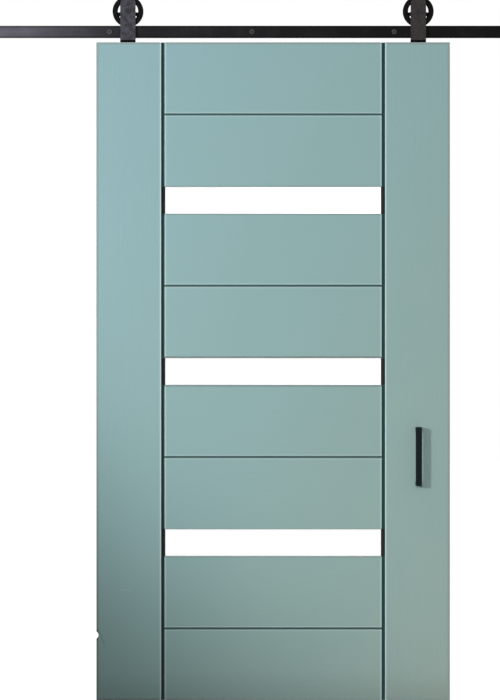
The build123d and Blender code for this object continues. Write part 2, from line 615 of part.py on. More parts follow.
def make_board(index):
    """Crosswise board: end tongues for the stiles, and tongue, groove or glass slot on its long edges."""
    top = board_top(index)
    bottom = top - BOARD_PITCH
    is_upper = index % BOARDS_PER_FIELD == 0
    glass_above = is_upper and index > 0
    glass_below = not is_upper and index < BOARD_COUNT - 1
    face_top = top if is_upper else top - JOINT_GAP_WIDTH / 2
    face_bottom = bottom + JOINT_GAP_WIDTH / 2 if is_upper else bottom
    slot_depth = SEAL_DEPTH + END_CLEARANCE
    slot_width = SEAL_THICKNESS + 2 * JOINT_CLEARANCE
    tongue_reach = REVEAL_WIDTH + STILE_GROOVE_DEPTH - END_CLEARANCE
    hole_depth = DOWEL_IN_BOARD + END_CLEARANCE
    with BuildPart() as board:
        with BuildSketch(Plane.YZ.offset(DOOR_REST_X - BOARD_LENGTH / 2)):
            with Locations((RAIL_Y, (face_top + face_bottom) / 2)):
                Rectangle(DOOR_THICKNESS, face_top - face_bottom)
        extrude(amount=BOARD_LENGTH)
        fillet(board.faces().filter_by(Axis.Y).edges(), EDGE_RADIUS)
        with BuildSketch(Plane.YZ.offset(DOOR_REST_X - BOARD_LENGTH / 2)):
            with Locations((RAIL_Y, (top + bottom) / 2)):
                Rectangle(BOARD_CORE, BOARD_PITCH)
            if not is_upper:
                with Locations((RAIL_Y, top)):
                    Rectangle(EDGE_TONGUE_THICKNESS, 2 * EDGE_TONGUE_LENGTH)
        extrude(amount=BOARD_LENGTH)
        if is_upper:
            with Locations((DOOR_REST_X, RAIL_Y, bottom)):
                Box(
                    BOARD_LENGTH,
                    EDGE_TONGUE_THICKNESS + 2 * JOINT_CLEARANCE,
                    2 * (EDGE_TONGUE_LENGTH + END_CLEARANCE),
                    mode=Mode.SUBTRACT,
                )
        for edge_z, has_glass in ((top, glass_above), (bottom, glass_below)):
            if has_glass:
                with Locations((DOOR_REST_X, RAIL_Y, edge_z)):
                    Box(BOARD_LENGTH, slot_width, 2 * slot_depth, mode=Mode.SUBTRACT)
        for side in SIDES.values():
            board_end = DOOR_REST_X + side * BOARD_LENGTH / 2
            with Locations((board_end + side * tongue_reach / 2, RAIL_Y, (top + bottom) / 2)):
                Box(tongue_reach, END_TONGUE_THICKNESS, BOARD_PITCH)
        for side in SIDES.values():
            board_end = DOOR_REST_X + side * BOARD_LENGTH / 2
            hole_start = board_end - side * hole_depth
            hole_end = board_end + side * (tongue_reach + OVERRUN)
            middle = (top + bottom) / 2
            heights = (middle - DOWEL_SPACING / 2, middle + DOWEL_SPACING / 2)
            with Locations([((hole_start + hole_end) / 2, RAIL_Y, z) for z in heights]):
                Cylinder(
                    DOWEL_DIAMETER / 2 + FASTENER_CLEARANCE,
                    abs(hole_end - hole_start),
                    rotation=(0, 90, 0),
                    mode=Mode.SUBTRACT,
                )
    save(board.part, "board_" + str(index + 1))


def make_lite(index):
    """Strip of glass with its rubber seal, held in the slots of the boards above and below."""
    middle = front_plane(DOOR_REST_X, RAIL_Y, lite_middle(index))
    glass_length = BOARD_LENGTH - 2 * END_CLEARANCE
    glass_height = LITE_HEIGHT + 2 * PANE_EDGE_COVER
    with BuildPart() as pane:
        with BuildSketch(middle):
            Rectangle(glass_length, glass_height)
        extrude(amount=PANE_THICKNESS / 2, both=True)
    save(pane.part, "pane_" + str(index + 1))
    with BuildPart() as glazing_seal:
        with BuildSketch(middle):
            Rectangle(BOARD_LENGTH - 2 * JOINT_CLEARANCE, LITE_HEIGHT + 2 * SEAL_DEPTH)
            Rectangle(BOARD_LENGTH + 2 * (REVEAL_WIDTH - JOINT_CLEARANCE), LITE_HEIGHT - 2 * JOINT_CLEARANCE)
            Rectangle(BOARD_LENGTH - 2 * SEAL_END_COVER, LITE_HEIGHT, mode=Mode.SUBTRACT)
        extrude(amount=SEAL_THICKNESS / 2, both=True)
        with BuildSketch(middle):
            Rectangle(glass_length + 2 * JOINT_CLEARANCE, glass_height + 2 * JOINT_CLEARANCE)
        extrude(amount=PANE_THICKNESS / 2 + JOINT_CLEARANCE, both=True, mode=Mode.SUBTRACT)
    save(glazing_seal.part, "glazing_seal_" + str(index + 1))


def make_pull_handle():
    """Bar pull standing off the right stile on two legs, bored from behind for its screws."""
    pull_x = DOOR_REST_X + DOOR_WIDTH / 2 - PULL_INSET
    middle = DOOR_BOTTOM + PULL_ABOVE_BOTTOM
    projection = PULL_FINGER_GAP + PULL_BAR_THICKNESS
    gap_middle = DOOR_FRONT - PULL_FINGER_GAP / 2
    bar_front = DOOR_FRONT - projection
    bar_back = DOOR_FRONT - PULL_FINGER_GAP
    with BuildPart() as pull_handle:
        with BuildSketch(Plane.YZ.offset(pull_x - PULL_WIDTH / 2)) as profile:
            with Locations((DOOR_FRONT - projection / 2, middle)):
                Rectangle(projection, PULL_LENGTH)
            fillet(profile.vertices().group_by(Axis.X)[0], PULL_CORNER_RADIUS)
            with Locations((gap_middle, middle)):
                Rectangle(PULL_FINGER_GAP, PULL_LENGTH - 2 * PULL_LEG_HEIGHT, mode=Mode.SUBTRACT)
            inner_corners = profile.vertices().filter_by_position(Axis.X, bar_back, bar_back)
            fillet(inner_corners, PULL_INNER_RADIUS)
        extrude(amount=PULL_WIDTH)
        side_edges = pull_handle.faces().filter_by(Axis.X).edges()
        front_edges = side_edges.filter_by_position(Axis.Y, bar_front, bar_back)
        fillet(front_edges, PULL_EDGE_RADIUS)
        for z in pull_leg_heights():
            with Locations(front_plane(pull_x, DOOR_FRONT, z)):
                Hole(PULL_SCREW_DIAMETER / 2 + FASTENER_CLEARANCE, PULL_SCREW_DEPTH + END_CLEARANCE)
    save(pull_handle.part, "pull_handle")


def make_pull_screws():
    """Socket screws through the right stile into the handle's legs, their heads sunk in the back."""
    pull_x = DOOR_REST_X + DOOR_WIDTH / 2 - PULL_INSET
    head_seat = DOOR_BACK - PULL_SCREW_SINK
    shank_length = head_seat - DOOR_FRONT + PULL_SCREW_DEPTH
    with BuildPart() as pull_screws:
        for z in pull_leg_heights():
            with BuildSketch(front_plane(pull_x, head_seat, z)):
                Circle(PULL_SCREW_HEAD_DIAMETER / 2)
        extrude(amount=-PULL_SCREW_HEAD_HEIGHT)
        for z in pull_leg_heights():
            with BuildSketch(front_plane(pull_x, head_seat, z)):
                Circle(PULL_SCREW_DIAMETER / 2)
        extrude(amount=shank_length)
        for z in pull_leg_heights():
            with BuildSketch(front_plane(pull_x, head_seat + PULL_SCREW_HEAD_HEIGHT, z)):
                RegularPolygon(PULL_SOCKET_WIDTH / 2, side_count=6, major_radius=False)
        extrude(amount=PULL_SOCKET_DEPTH, mode=Mode.SUBTRACT)
    save(pull_screws.part, "pull_screws")


def main():
    os.makedirs("parts", exist_ok=True)
    make_rail()
    make_wall_spacers()
    make_wall_bolts()
    make_stop_screws()
    for label, side in SIDES.items():
        make_end_stop(label, side)
        make_stop_bumper(label, side)
        make_wheel(label, side)
        make_bearing(label, side)
        make_axle(label, side)
        make_hanger(label, side)
        make_foot_screws(label, side)
        make_stile(label, side)
        make_dowels(label, side)
    for index in range(BOARD_COUNT):
        make_board(index)
    for index in range(LITE_COUNT):
        make_lite(index)
    make_pull_handle()
    make_pull_screws()


main()
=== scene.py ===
"""Looks of a sliding barn door and its wall track, laid out as a Blender add-on and run as a script."""

import json
import math
from typing import NamedTuple

import bmesh
import bpy
from bpy.props import FloatProperty, FloatVectorProperty, IntProperty, PointerProperty
from bpy.types import Operator, Panel, PropertyGroup
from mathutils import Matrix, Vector


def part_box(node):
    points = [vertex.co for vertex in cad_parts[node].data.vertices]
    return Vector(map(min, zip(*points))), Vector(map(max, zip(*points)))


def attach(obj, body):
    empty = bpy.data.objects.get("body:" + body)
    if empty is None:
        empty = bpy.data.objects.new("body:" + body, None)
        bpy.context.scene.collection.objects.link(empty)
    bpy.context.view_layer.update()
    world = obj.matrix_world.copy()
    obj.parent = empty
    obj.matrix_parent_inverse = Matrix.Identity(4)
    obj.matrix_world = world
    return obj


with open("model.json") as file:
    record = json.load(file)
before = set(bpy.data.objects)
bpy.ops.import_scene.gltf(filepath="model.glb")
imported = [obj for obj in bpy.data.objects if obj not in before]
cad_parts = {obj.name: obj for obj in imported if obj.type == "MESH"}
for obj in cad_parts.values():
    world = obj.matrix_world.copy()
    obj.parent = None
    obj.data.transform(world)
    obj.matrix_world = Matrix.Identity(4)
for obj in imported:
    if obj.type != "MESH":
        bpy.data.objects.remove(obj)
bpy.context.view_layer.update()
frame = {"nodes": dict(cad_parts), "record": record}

bl_info = {
    "name": "Sliding Barn Door",
    "version": (1, 0, 0),
    "blender": (4, 5, 0),
    "location": "View3D > Sidebar > Barn Door",
    "description": "Finishes a sliding barn door and its track, and sets a studio round it",
    "category": "Object",
}


class Band(NamedTuple):
    """Where a mark or a shade starts and ends, and its strength where it is full."""

    start: float
    end: float
    strength: float = 1.0


# Landmarks of the solids, in metres
RAIL_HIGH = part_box("rail")[1]
TRACK_Y = (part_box("rail")[0].y + RAIL_HIGH.y) / 2
LEAF_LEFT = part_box("stile_left")[0].x
LEAF_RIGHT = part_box("stile_right")[1].x
LEAF_X = (LEAF_LEFT + LEAF_RIGHT) / 2
LEAF_WIDTH = LEAF_RIGHT - LEAF_LEFT
LEAF_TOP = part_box("stile_left")[1].z
LEAF_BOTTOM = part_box("stile_left")[0].z
LEAF_HEIGHT = LEAF_TOP - LEAF_BOTTOM
LEAF_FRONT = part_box("stile_left")[0].y
LEAF_HALF_THICKNESS = TRACK_Y - LEAF_FRONT
LEAF_MIDDLE = Vector((LEAF_X, LEAF_FRONT, (LEAF_TOP + LEAF_BOTTOM) / 2))
STRAP_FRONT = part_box("hanger_left")[0].y
# From the leaf's middle to the inner edge of a stile, and to the end of a board's face
STILE_INNER = LEAF_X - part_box("stile_left")[1].x
PANE_END_GAP = 0.0005
BOARD_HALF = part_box("pane_1")[1].x + PANE_END_GAP - LEAF_X
# Heights of the joints between boards, and half a joint's width
JOINTS = [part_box(f"board_{n}")[0].z for n in (1, 3, 5, 7)]
JOINT_HALF = 0.002

# Wall bolts and axles, from the packed record
MILLIMETRE = 0.001
BOLT_ROWS = [mount for mount in frame["record"]["mounts"] if mount["kind"] == "bolt_pattern"]
WALL_BOLT_XS = [side * row["dims"]["spacing_x_mm"] * MILLIMETRE / 2 for row in BOLT_ROWS for side in (-1, 1)]
WALL_BOLT_CORE = BOLT_ROWS[0]["dims"]["stud_r_mm"] * MILLIMETRE
AXLES = [joint["pos_m"] for joint in frame["record"]["behaviour"]["joints"] if joint["type"] == "hinge"]

# Paint: cover of the top coat where it is thinnest, and its cloudiness, as noise
COAT_COVER = 0.65
COAT_CLOUD = Band(0.32, 0.70, 0.75)

# Paint along the leaf's outer edges and its foot; the rim darkens with painted shade towards the lower left
# corner, where the share of the height gone down most exceeds the share of the width gone right, and the
# foot darkens with floor dirt and painted shade
PRIMER_RIM = Band(0.0050, 0.0092, 0.85)
PRIMER_WANDER = 0.003
SHADED_RIM = Band(0.50, 1.00, 0.55)
FLOOR_DIRT_AND_SHADE = Band(0.0, 0.11, 0.22)
DIRT_AND_SHADE_WANDER = 0.04

# Paint along the boards' joints and ends and along the stiles' inner edges: painted shade in the joints, on
# the tongues and in the grooves, and painted highlights on the eased edges
JOINT_FLOOR = Band(JOINT_HALF - 0.0003, JOINT_HALF, 0.85)
JOINT_SHADE = Band(JOINT_HALF + 0.0012, JOINT_HALF + 0.0040, 0.58)
BOARD_EDGE_HIGHLIGHT = Band(JOINT_HALF + 0.0038, JOINT_HALF + 0.0070, 0.36)
BOARD_END_HIGHLIGHT = Band(BOARD_HALF - 0.0080, BOARD_HALF - 0.0010, 0.52)
BOARD_TONGUE = Band(BOARD_HALF + 0.0001, BOARD_HALF + 0.0006)
STILE_EDGE_HIGHLIGHT = Band(STILE_INNER + 0.0010, STILE_INNER + 0.0062, 0.92)
GROOVE_SIDES = Band(0.0084, 0.0090)
GROOVE_FLOOR = Band(STILE_INNER + 0.0170, STILE_INNER + 0.0175)
FRONT_HALF = Band(0.0, 0.001)

# Painted shade in the left reveal: its strength at the leaf's top and at its foot
LEFT_REVEAL = Band(LEAF_X - 0.2, LEAF_X + 0.2)
SHADE_AT_TOP = 0.40
SHADE_AT_FOOT = 0.90

# Wood grain: how tightly it is packed across the fibres, and along them
GRAIN_ACROSS = 120.0
GRAIN_ALONG = 5.0
BOARD_GRAIN = (GRAIN_ALONG, GRAIN_ACROSS, GRAIN_ACROSS)
STILE_GRAIN = (GRAIN_ACROSS, GRAIN_ACROSS, GRAIN_ALONG)
DOWEL_GRAIN = (30.0, 900.0, 900.0)

# The broken spot on the leaf's left edge, with darker paint round it
CHIP_Z = LEAF_BOTTOM + 0.212
CHIP_HALF = 0.0125
CHIP_DEEP = 0.0068
CHIP_SIDE = Band(CHIP_DEEP + 0.0030, CHIP_DEEP + 0.0042)
CHIP_ENDS = Band(CHIP_HALF, CHIP_HALF + 0.0012)
CHIP_FACES = Band(LEAF_HALF_THICKNESS - 0.0020, LEAF_HALF_THICKNESS - 0.0005)
DARK_SIDE = Band(CHIP_DEEP * 0.6, CHIP_DEEP * 1.3, 0.55)
DARK_ENDS = Band(CHIP_HALF * 1.1, CHIP_HALF * 2.0)
CHIP_WANDER = 0.003
SCRATCH_WANDER = 0.0015

# The hairline crack that runs down past the broken spot, measured from the leaf's lower left corner
CRACK_X = 0.0058
CRACK_HIGH = 0.2335
CRACK_LEAN = 0.385
CRACK_HALF = 0.0022
CRACK_FOOT = Band(0.1640, CRACK_HIGH - 0.040)
CRACK_HEAD = Band(CRACK_HIGH - 0.004, CRACK_HIGH)
CRACK_LINE = Band(CRACK_HALF * 0.3, CRACK_HALF * 1.6, 0.45)

# The pale rub above the crack, measured from the same corner
RUB_X = 0.0935
RUB_Z = 0.3584
RUB_HALF_LENGTH = 0.0220
RUB_HALF = 0.0034
RUB_ENDS = Band(RUB_HALF_LENGTH * 0.5, RUB_HALF_LENGTH)
RUB_LINE = Band(RUB_HALF * 0.5, RUB_HALF, 0.16)

# Coated steel: the clouds of noise where the coat is rubbed
RUBBED_FROM = 0.45
RUBBED_FULL = 0.75

# Rail: its rims darkened as painted shade, and dust with a painted sheen that thickens towards the left with
# a trace of it further right
RAIL_RIM = Band(RAIL_HIGH.z - 0.0085, RAIL_HIGH.z - 0.0040)
RAIL_RIM_SHADE = 0.50
RAIL_RIM_SPARED = 0.45
DUST_AND_SHEEN_DRIFT = Band(-0.10, -0.75)
DUST_AND_SHEEN_TRACE = Band(0.75, -0.10, 0.065)
DUST_AND_SHEEN_COVER = 0.7
DUST_AND_SHEEN_STREAKS = (5.0, 1.0, 420.0)

# Strap hangers: blotches, whose colour turns from left to right, and the dirt and painted shade in the fold,
# which reaches a little above the leaf's top and behind the strap's face
HANDLED_BLOTCH = Band(0.30, 0.70)
LEAF_SIDES = Band(LEAF_LEFT, LEAF_RIGHT)
FOLD_HEIGHT = Band(0.0055, 0.0098)
FOLD_DEPTH = Band(0.0080, 0.0120)

# Black oxide: how far it is rubbed everywhere, and further in clouds of noise
OXIDE_RUBBED = 0.30
OXIDE_CLOUD = Band(0.42, 0.72, 0.45)

# Hexagon heads: place of the axis and radius within which the oxide stays darker
HEAD_DARK_MIDDLE = Band(0.1, 1.0)
WALL_HEAD_DARK = 0.0060
AXLE_HEAD_DARK = 0.0105
HEAD_MIDDLES = [(x, 0.0, WALL_HEAD_DARK) for x in WALL_BOLT_XS]
HEAD_MIDDLES += [(x, z, AXLE_HEAD_DARK) for x, _, z in AXLES]

# Bearing rings: fine lines left by grinding
RING_LINES = (1200.0, 60.0, 1200.0)

# Thread of a wall bolt: places along the bolt count from the wall's face
THREAD_START = 0.0015
THREAD_END = 0.0440
THREAD_SINK = 0.0003
# Share of the thread's length over which it runs out, half its foot in pitches, and the foot's share left at
# the very ends
THREAD_RUNOUT = 0.1
THREAD_HALF_FOOT = 0.36
THREAD_END_FOOT = 0.3
# Where the bolt's point starts, and the radius lost for each unit of length along it
POINT_START = 0.0415
POINT_TAPER = 0.5

# The photograph's frame, with the leaf's left and top edges in it, in pixels
IMAGE_SIZE = (500, 700)
LEAF_LEFT_PIXEL = 96.4
LEAF_TOP_PIXEL = 42.3

# Camera's sensor in millimetres, how far it sees, and half the floor's side
SENSOR_MILLIMETRES = 36.0
CAMERA_REACH = 200.0
FLOOR_HALF = 30.0

# Shader values
NOISE_MIDDLE = 0.5
OPAQUE = 1.0
BLACK = (0.0, 0.0, 0.0, OPAQUE)
WHITE = (1.0, 1.0, 1.0, OPAQUE)

# Shares of a window line's width within which it is full, and at which it ends
WINDOW_LINE_FULL = 0.6
WINDOW_LINE_END = 1.2
WINDOW_LINE_WANDER = 0.002


def window_line_band(width, strength):
    """Band across a line of sealant and painted shadow, soft at its rim."""
    return Band(width * WINDOW_LINE_FULL, width * WINDOW_LINE_END, strength)


# Edges of the windows, each with a dark line on the board beside it: sealant and the painted shadow of the
# board's edge
WINDOW_LINES = [
    (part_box("board_2")[0].z, window_line_band(0.0036, 0.16)),
    (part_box("board_3")[1].z, window_line_band(0.0052, 0.32)),
    (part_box("board_4")[0].z, window_line_band(0.0048, 0.78)),
    (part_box("board_5")[1].z, window_line_band(0.0062, 0.46)),
    (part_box("board_6")[0].z, window_line_band(0.0025, 0.25)),
    (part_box("board_7")[1].z, window_line_band(0.0045, 0.30)),
]


def rgba(colour):
    """Colour property as a shader colour."""
    return (*colour, OPAQUE)


class Wire:
    """A shader socket that takes part in Python sums; every sum adds a Math node."""

    def __init__(self, finish, socket):
        self.finish = finish
        self.socket = socket

    def out(self, key):
        """Another output of the same node."""
        return Wire(self.finish, self.socket.node.outputs[key])

    def sum_of(self, operation, first, second=0.0):
        """Result of one Math node."""
        sockets = {0: first, 1: second}
        return self.finish.node("ShaderNodeMath", {"operation": operation}, sockets)

    def __add__(self, other):
        return self.sum_of("ADD", self, other)

    def __radd__(self, other):
        return self.sum_of("ADD", other, self)

    def __sub__(self, other):
        return self.sum_of("SUBTRACT", self, other)

    def __rsub__(self, other):
        return self.sum_of("SUBTRACT", other, self)

    def __mul__(self, other):
        return self.sum_of("MULTIPLY", self, other)

    def __rmul__(self, other):
        return self.sum_of("MULTIPLY", other, self)

    def __abs__(self):
        return self.sum_of("ABSOLUTE", self)

    def at_most(self, other):
        """The smaller of two values."""
        return self.sum_of("MINIMUM", self, other)

    def swing(self, amount):
        """Noise centred on 0 and scaled."""
        return (self - NOISE_MIDDLE) * amount


class Finish:
    """Node tree of one material or world, written from Python."""

    def __init__(self, owner, output_kind):
        owner.use_nodes = True
        self.owner = owner
        self.tree = owner.node_tree
        self.tree.nodes.clear()
        self.output = self.tree.nodes.new(output_kind)

    def node(self, kind, settings=None, sockets=None, out=0):
        """Add a node: its settings first, then the values or links of its sockets."""
        made = self.tree.nodes.new(kind)
        for key, value in (settings or {}).items():
            if key == "stops":
                self.set_stops(made.color_ramp, value)
            else:
                setattr(made, key, value)
        for key, value in (sockets or {}).items():
            if isinstance(value, Wire):
                self.tree.links.new(value.socket, made.inputs[key])
            else:
                made.inputs[key].default_value = value
        return Wire(self, made.outputs[out])

    @staticmethod
    def set_stops(ramp, stops):
        """Give a colour ramp its stops."""
        while len(ramp.elements) < len(stops):
            ramp.elements.new(1.0)
        for element, (position, colour) in zip(ramp.elements, stops):
            element.position = position
            element.color = colour

    def shade(self, shader):
        """Send a finished shader to the output, and give back its material or world."""
        self.tree.links.new(shader.socket, self.output.inputs["Surface"])
        return self.owner

    def principled(self, sockets):
        """Close the tree with a Principled shader."""
        return self.shade(self.node("ShaderNodeBsdfPrincipled", None, sockets))

    def blend(self, factor, first, second):
        """Blend two shaders."""
        return self.node("ShaderNodeMixShader", None, {0: factor, 1: first, 2: second})

    def place(self):
        """Object coordinates, which travel with the piece."""
        return self.node("ShaderNodeTexCoord", out="Object")

    def axes(self, vector):
        """A vector's three numbers."""
        split = self.node("ShaderNodeSeparateXYZ", None, {0: vector})
        return split.out("X"), split.out("Y"), split.out("Z")

    def stretch(self, vector, scale):
        """A vector scaled along each axis by its own amount."""
        return self.node("ShaderNodeVectorMath", {"operation": "MULTIPLY"}, {0: vector, 1: scale})

    def noise(self, vector, scale=1.0, detail=2.0, rough=0.5):
        """Noise from about 0 to about 1."""
        sockets = {"Vector": vector, "Scale": scale, "Detail": detail, "Roughness": rough}
        return self.node("ShaderNodeTexNoise", None, sockets)

    def rise(self, value, band):
        """Smooth climb from 0 to the band's strength as a value crosses it."""
        return self.ramp(value, band, 0.0, band.strength)

    def fall(self, value, band):
        """Smooth drop from the band's strength to 0 as a value crosses it."""
        return self.ramp(value, band, band.strength, 0.0)

    def ramp(self, value, band, first, last):
        """Smooth step from a first value at the band's start to a last one at its end."""
        sockets = {
            "Value": value,
            "From Min": band.start,
            "From Max": band.end,
            "To Min": first,
            "To Max": last,
        }
        return self.node("ShaderNodeMapRange", {"interpolation_type": "SMOOTHSTEP"}, sockets)

    def mix(self, factor, first, second):
        """Blend two colours."""
        sockets = {0: factor, 6: first, 7: second}
        return self.node("ShaderNodeMix", {"data_type": "RGBA"}, sockets, out=2)

    def bump(self, height, strength, distance):
        """Normal of a relief."""
        sockets = {"Strength": strength, "Distance": distance, "Height": height}
        return self.node("ShaderNodeBump", None, sockets)


def nearest(distances):
    """Smallest of several distances."""
    smallest, *others = distances
    for other in others:
        smallest = smallest.at_most(other)
    return smallest


def new_finish(name):
    """Empty node tree of a new material."""
    return Finish(bpy.data.materials.new(name), "ShaderNodeOutputMaterial")


def dress(material, *nodes):
    """Give CAD nodes one material."""
    for name in nodes:
        piece = frame["nodes"][name]
        piece.data.materials.clear()
        piece.data.materials.append(material)


def add_mesh(name, form, material):
    """Turn a finished bmesh into an object with one material."""
    mesh = bpy.data.meshes.new(name)
    form.to_mesh(mesh)
    form.free()
    mesh.materials.append(material)
    made = bpy.data.objects.new(name, mesh)
    bpy.context.scene.collection.objects.link(made)
    return made


# Kinds of property
COLOUR = {"subtype": "COLOR", "min": 0, "max": 1}
FACTOR = {"subtype": "FACTOR", "min": 0, "max": 1}
LENGTH = {"subtype": "DISTANCE", "unit": "LENGTH"}
PLACE = {"subtype": "TRANSLATION", "unit": "LENGTH"}
ANGLE = {"subtype": "ANGLE", "unit": "ROTATION"}
POWER = {"subtype": "POWER", "unit": "POWER"}


class LeafPaint(PropertyGroup):
    """Paint and wood of the leaf."""

    colour: FloatVectorProperty(
        name="Paint", description="Satin paint of the leaf", default=(0.250, 0.413, 0.452), **COLOUR,
    )
    # Aged and faded paint are a painted tint of light: the paint turns from cool at the upper left to warm
    # low on the right
    mid_light_paint: FloatVectorProperty(
        name="Aged paint", description="The same paint half way down the fading",
        default=(0.263, 0.413, 0.409), **COLOUR,
    )
    warm_light_paint: FloatVectorProperty(
        name="Faded paint", description="The same paint, warmed by daylight and dust low on the right",
        default=(0.322, 0.413, 0.372), **COLOUR,
    )
    tint: FloatVectorProperty(
        name="Thin coat", description="Tone where the top coat lies thinner",
        default=(0.247, 0.392, 0.386), **COLOUR,
    )
    # Eased edges: painted highlights along the eased edges of boards and stiles; the pale rub on the left
    # stile takes the same colour
    edge: FloatVectorProperty(
        name="Eased edges", description="Rubbed paint along the eased edges",
        default=(0.56, 0.73, 0.73), **COLOUR,
    )
    worn: FloatVectorProperty(
        name="Outer edges", description="Grey primer that shows through at the leaf's outer edges",
        default=(0.250, 0.322, 0.312), **COLOUR,
    )
    # Reveals and Deep reveals are painted shade in the reveals and joints, deepest low down in the left
    # reveal; the crack and the paint round the break take the Reveals colour too
    reveal: FloatVectorProperty(
        name="Reveals", description="Thin dark paint down in the reveals",
        default=(0.018, 0.060, 0.062), **COLOUR,
    )
    left_reveal_shade: FloatVectorProperty(
        name="Deep reveals", description="Dirt and thin paint low down in the left reveal",
        default=(0.004, 0.015, 0.015), **COLOUR,
    )
    # Sealant and painted shadow: the dark lines along the windows stand in for sealant and for the shadow of
    # the boards' edges
    sealant_and_shadow: FloatVectorProperty(
        name="Sealant", description="Grey glazing sealant drawn along the windows",
        default=(0.110, 0.115, 0.108), **COLOUR,
    )
    # Dirt along the foot, which also carries painted shade near the floor, and painted shade on the rim at
    # the lower left corner
    dirt_and_shade: FloatVectorProperty(
        name="Dirt", description="Floor dirt along the leaf's lower edge",
        default=(0.130, 0.135, 0.110), **COLOUR,
    )
    bare: FloatVectorProperty(
        name="Bare wood", description="Raw wood where the edge is broken",
        default=(0.62, 0.55, 0.45), **COLOUR,
    )
    gloss: FloatProperty(
        name="Roughness", description="Satin sheen of the paint", default=0.46, **FACTOR,
    )
    relief: FloatProperty(
        name="Relief", description="Height of grain and stipple in the paint", default=0.0014, **LENGTH,
    )
    dowel_light: FloatVectorProperty(
        name="Dowels, light", description="Pale grain of the dowels", default=(0.62, 0.46, 0.29), **COLOUR,
    )
    dowel_dark: FloatVectorProperty(
        name="Dowels, dark", description="Dark grain of the dowels", default=(0.47, 0.31, 0.17), **COLOUR,
    )


class Glazing(PropertyGroup):
    """Frosted strips and their rubber."""

    glass: FloatVectorProperty(
        name="Glass", description="Tint of the etched glass", default=(0.97, 0.985, 0.98), **COLOUR,
    )
    frost: FloatProperty(
        name="Frost", description="Roughness of the etched faces", default=0.42, **FACTOR,
    )
    rubber: FloatVectorProperty(
        name="Rubber", description="Glazing seals and stop bumpers", default=(0.012, 0.014, 0.014), **COLOUR,
    )
    bloom: FloatVectorProperty(
        name="Bloom", description="Grey film on the rubber", default=(0.030, 0.032, 0.032), **COLOUR,
    )


class BlackSteel(PropertyGroup):
    """Steel of the track, hangers, pull and fasteners."""

    coat: FloatVectorProperty(
        name="Powder coat", description="Matt coat of track and hangers",
        default=(0.0065, 0.0064, 0.0064), **COLOUR,
    )
    roller_coat: FloatVectorProperty(
        name="Rollers' coat", description="Deep black of the cast rollers",
        default=(0.0040, 0.0040, 0.0042), **COLOUR,
    )
    pull_coat: FloatVectorProperty(
        name="Pull's coat", description="Cool black of the bar pull",
        default=(0.0075, 0.0125, 0.0140), **COLOUR,
    )
    rubbed: FloatVectorProperty(
        name="Rubbed coat", description="Coat where it is handled or run on",
        default=(0.030, 0.0295, 0.032), **COLOUR,
    )
    # Dust, which also carries a painted sheen of the light from the left on the rail
    dust_and_sheen: FloatVectorProperty(
        name="Dust", description="Pale dust towards the rail's left end",
        default=(0.190, 0.181, 0.221), **COLOUR,
    )
    strap_cool: FloatVectorProperty(
        name="Handled strap, left", description="Blotches on the left strap's coat",
        default=(0.050, 0.050, 0.072), **COLOUR,
    )
    strap_warm: FloatVectorProperty(
        name="Handled strap, right", description="Blotches on the right strap's coat",
        default=(0.027, 0.0185, 0.0185), **COLOUR,
    )
    oxide: FloatVectorProperty(
        name="Black oxide", description="Bolts, nuts and screws", default=(0.016, 0.016, 0.017), **COLOUR,
    )
    oxide_rubbed: FloatVectorProperty(
        name="Rubbed oxide", description="Steel that shows through rubbed oxide",
        default=(0.130, 0.126, 0.120), **COLOUR,
    )
    ring: FloatVectorProperty(
        name="Bearing rings", description="Ground steel of the bearings",
        default=(0.52, 0.52, 0.53), **COLOUR,
    )
    ring_film: FloatVectorProperty(
        name="Oil film", description="Brown film on the bearing rings", default=(0.38, 0.37, 0.35), **COLOUR,
    )
    thread_pitch: FloatProperty(
        name="Thread pitch", description="Rise of a wall bolt's thread for each turn",
        default=0.0034, **LENGTH,
    )
    thread_height: FloatProperty(
        name="Thread height", description="How far the thread stands out of its core",
        default=0.0010, **LENGTH,
    )
    thread_steps: IntProperty(
        name="Thread steps", description="Facets in one turn of thread", min=8, max=48, default=18,
    )


